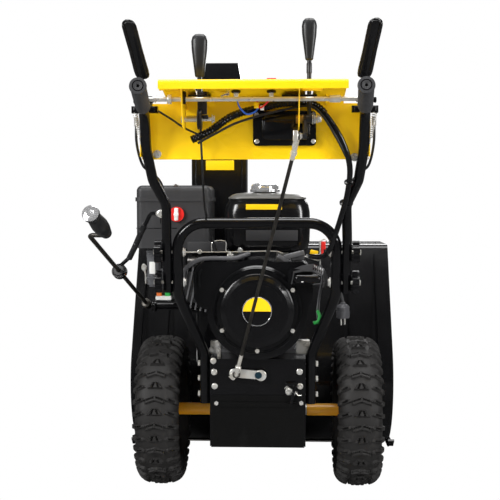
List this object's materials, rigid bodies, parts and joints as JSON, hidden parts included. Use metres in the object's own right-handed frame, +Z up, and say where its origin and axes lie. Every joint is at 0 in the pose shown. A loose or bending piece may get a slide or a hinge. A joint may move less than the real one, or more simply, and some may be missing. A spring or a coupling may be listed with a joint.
{
  "type": "walk-behind snow blower",
  "caption": "Petrol two-stage walk-behind snow thrower: ribbon auger housing, turning chute with tilting hood, recoil-start engine, friction drive, bar-lugged wheels and handles with a panel.",
  "frame": {"origin": "on the ground, midway between the machine's sides and midway between its front and back", "axes": "+Y is forward, in the direction of travel; +X is to the operator's right; +Z is up"},
  "size_m": [0.78, 1.3, 1.104],
  "materials": {
    "tyre_rubber": "matt",
    "soft_rubber": "matt",
    "yellow_paint": "gloss",
    "black_paint": "gloss",
    "black_pressing": "satin",
    "black_plastic": "matt",
    "tank_plastic": "satin",
    "cable_plastic": "satin",
    "zinc_steel": "satin",
    "plain_steel": "brushed",
    "cast_alloy": "cast",
    "chrome_plate": "polished",
    "gear_iron": "cast",
    "choke_white": "gloss"
  },
  "bodies": {
    "machine": {"auger_housing": "black_paint", "belt_cover": "black_plastic", "bolts": "zinc_steel", "bottom_cover": "black_pressing", "carburettor_cover": "black_plastic", "control_cables": "cable_plastic", "control_panel": "yellow_paint", "crank_bracket": "black_paint", "crankcase": "cast_alloy", "cylinder_head": "cast_alloy", "drive_belts": "soft_rubber", "electric_starter": "black_plastic", "fan_shroud": "black_pressing", "fuel_tank": "tank_plastic", "gearbox_case": "cast_alloy", "grips": "soft_rubber", "handle_tubes": "black_paint", "headlight": "black_plastic", "impeller_housing": "black_paint", "lever_brackets": "zinc_steel", "mains_lead": "cable_plastic", "mains_plug": "black_plastic", "muffler": "zinc_steel", "recoil_cover": "black_plastic", "scraper_bar": "black_paint", "shaft_bearings": "plain_steel", "skid_shoes": "black_paint", "tank_bracket": "zinc_steel", "traction_housing": "black_paint", "u_handle": "black_paint"},
    "wheels": {"tyres": "tyre_rubber", "rims": "yellow_paint", "wheel_axle": "zinc_steel", "axle_gear": "gear_iron"},
    "pinion": {"pinion_shaft": "plain_steel"},
    "friction": {"friction_wheel": "soft_rubber"},
    "disc": {"drive_disc": "cast_alloy"},
    "crank_train": {"crankshaft": "plain_steel"},
    "auger": {"auger_flights": "yellow_paint", "auger_shaft": "plain_steel"},
    "fan": {"impeller": "yellow_paint", "impeller_shaft": "plain_steel"},
    "spout": {"chute": "black_plastic"},
    "hood": {"deflector": "black_plastic"},
    "hood_lever": {"deflector_lever": "black_plastic"},
    "worm": {"chute_worm": "zinc_steel"},
    "crank": {"crank_rod": "zinc_steel"},
    "crank_handle": {"crank_grip": "black_plastic"},
    "gear_lever": {"speed_lever": "black_plastic"},
    "selector": {"shift_arm": "zinc_steel"},
    "gear_rod": {"shift_rod": "zinc_steel"},
    "clutch_left": {"clutch_lever_left": "black_plastic"},
    "clutch_right": {"clutch_lever_right": "black_plastic"},
    "starter_pull": {"recoil_handle": "black_plastic"},
    "filler": {"fuel_cap": "chrome_plate"},
    "choke": {"choke_knob": "choke_white"},
    "knob_high_left": {"clamp_knob_high_left": "black_plastic"},
    "knob_high_right": {"clamp_knob_high_right": "black_plastic"},
    "knob_low_left": {"clamp_knob_low_left": "black_plastic"},
    "knob_low_right": {"clamp_knob_low_right": "black_plastic"}
  },
  "joints": [
    {"name": "wheel_turn", "type": "hinge", "parent": "machine", "child": "wheels", "pos_m": [0, 0, 0.19], "axis": [1, 0, 0], "continuous": true},
    {"name": "pinion_turn", "type": "hinge", "parent": "machine", "child": "pinion", "pos_m": [0, -0.0323, 0.25], "axis": [1, 0, 0], "continuous": true},
    {"name": "friction_slide", "type": "slide", "parent": "pinion", "child": "friction", "axis": [1, 0, 0], "range_m": [-0.022, 0.022]},
    {"name": "disc_turn", "type": "hinge", "parent": "machine", "child": "disc", "pos_m": [0, 0.024, 0.25], "axis": [0, 1, 0], "continuous": true},
    {"name": "crankshaft_turn", "type": "hinge", "parent": "machine", "child": "crank_train", "pos_m": [0, 0, 0.475], "axis": [0, 1, 0], "continuous": true},
    {"name": "auger_turn", "type": "hinge", "parent": "machine", "child": "auger", "pos_m": [0, 0.413, 0.208], "axis": [1, 0, 0], "continuous": true},
    {"name": "impeller_turn", "type": "hinge", "parent": "machine", "child": "fan", "pos_m": [0, 0.15, 0.2483], "axis": [0, 1, 0], "continuous": true},
    {"name": "chute_turn", "type": "hinge", "parent": "machine", "child": "spout", "pos_m": [-0.113, 0.18, 0.4463], "axis": [0, 0, 1], "range_deg": [-95, 95]},
    {"name": "deflector_tilt", "type": "hinge", "parent": "spout", "child": "hood", "pos_m": [-0.113, 0.136, 0.876], "axis": [1, 0, 0], "range_deg": [-50, 0]},
    {"name": "deflector_lever_tilt", "type": "hinge", "parent": "machine", "child": "hood_lever", "pos_m": [-0.112, -0.469, 0.898], "axis": [1, 0, 0], "range_deg": [0, 26]},
    {"name": "worm_turn", "type": "hinge", "parent": "machine", "child": "worm", "pos_m": [-0.2, 0.0797, 0.4493], "axis": [1, 0, 0], "range_deg": [-1050, 1050]},
    {"name": "crank_turn", "type": "hinge", "parent": "machine", "child": "crank", "pos_m": [-0.3, 0.0797, 0.4493], "axis": [-0.1103, -0.9121, 0.3949], "range_deg": [-1050, 1050]},
    {"name": "crank_grip_turn", "type": "hinge", "parent": "crank", "child": "crank_handle", "pos_m": [-0.316, -0.406, 0.657], "axis": [-0.1103, -0.9121, 0.3949], "continuous": true},
    {"name": "speed_lever_tilt", "type": "hinge", "parent": "machine", "child": "gear_lever", "pos_m": [0.112, -0.469, 0.898], "axis": [1, 0, 0], "range_deg": [-13.5, 13.5]},
    {"name": "shift_arm_turn", "type": "hinge", "parent": "machine", "child": "selector", "pos_m": [0, -0.199, 0.319], "axis": [0, 1, 0], "range_deg": [-16, 16]},
    {"name": "shift_rod_turn", "type": "hinge", "parent": "gear_lever", "child": "gear_rod", "pos_m": [0.089, -0.504, 0.861], "axis": [1, 0, 0], "range_deg": [-16, 16]},
    {"name": "clutch_left_squeeze", "type": "hinge", "parent": "machine", "child": "clutch_left", "pos_m": [-0.226, -0.462, 0.937], "axis": [1, 0, 0], "range_deg": [0, 14.5], "stiffness_Nm_per_rad": 3, "springref_deg": -28.65},
    {"name": "clutch_right_squeeze", "type": "hinge", "parent": "machine", "child": "clutch_right", "pos_m": [0.226, -0.462, 0.937], "axis": [1, 0, 0], "range_deg": [0, 14.5], "stiffness_Nm_per_rad": 3, "springref_deg": -28.65},
    {"name": "starter_pull_out", "type": "slide", "parent": "machine", "child": "starter_pull", "axis": [0, -1, 0], "range_m": [0, 0.09], "stiffness_N_per_m": 60, "springref_m": -0.25},
    {"name": "fuel_cap_turn", "type": "hinge", "parent": "machine", "child": "filler", "pos_m": [0.015, -0.102, 0.751], "axis": [0, 0, 1], "continuous": true},
    {"name": "choke_knob_turn", "type": "hinge", "parent": "machine", "child": "choke", "pos_m": [-0.198, -0.135, 0.698], "axis": [0, 1, 0], "range_deg": [0, 90]},
    {"name": "knob_high_left_turn", "type": "hinge", "parent": "machine", "child": "knob_high_left", "pos_m": [-0.2255, -0.276, 0.614], "axis": [1, 0, 0], "continuous": true},
    {"name": "knob_high_right_turn", "type": "hinge", "parent": "machine", "child": "knob_high_right", "pos_m": [0.2255, -0.276, 0.614], "axis": [1, 0, 0], "continuous": true},
    {"name": "knob_low_left_turn", "type": "hinge", "parent": "machine", "child": "knob_low_left", "pos_m": [-0.2255, -0.265, 0.544], "axis": [1, 0, 0], "continuous": true},
    {"name": "knob_low_right_turn", "type": "hinge", "parent": "machine", "child": "knob_low_right", "pos_m": [0.2255, -0.265, 0.544], "axis": [1, 0, 0], "continuous": true}
  ],
  "couplings": [
    {"joint": "pinion_turn", "follows": "wheel_turn", "ratio": -1.0649},
    {"joint": "impeller_turn", "follows": "auger_turn", "ratio": 10},
    {"joint": "deflector_lever_tilt", "follows": "deflector_tilt", "ratio": -0.5},
    {"joint": "worm_turn", "follows": "chute_turn", "ratio": 11},
    {"joint": "crank_turn", "follows": "chute_turn", "ratio": -11},
    {"joint": "shift_rod_turn", "follows": "speed_lever_tilt", "ratio": -1.06},
    {"joint": "shift_arm_turn", "follows": "speed_lever_tilt", "ratio": -1.09},
    {"joint": "friction_slide", "follows": "speed_lever_tilt", "m_per_rad": 0.0752}
  ]
}
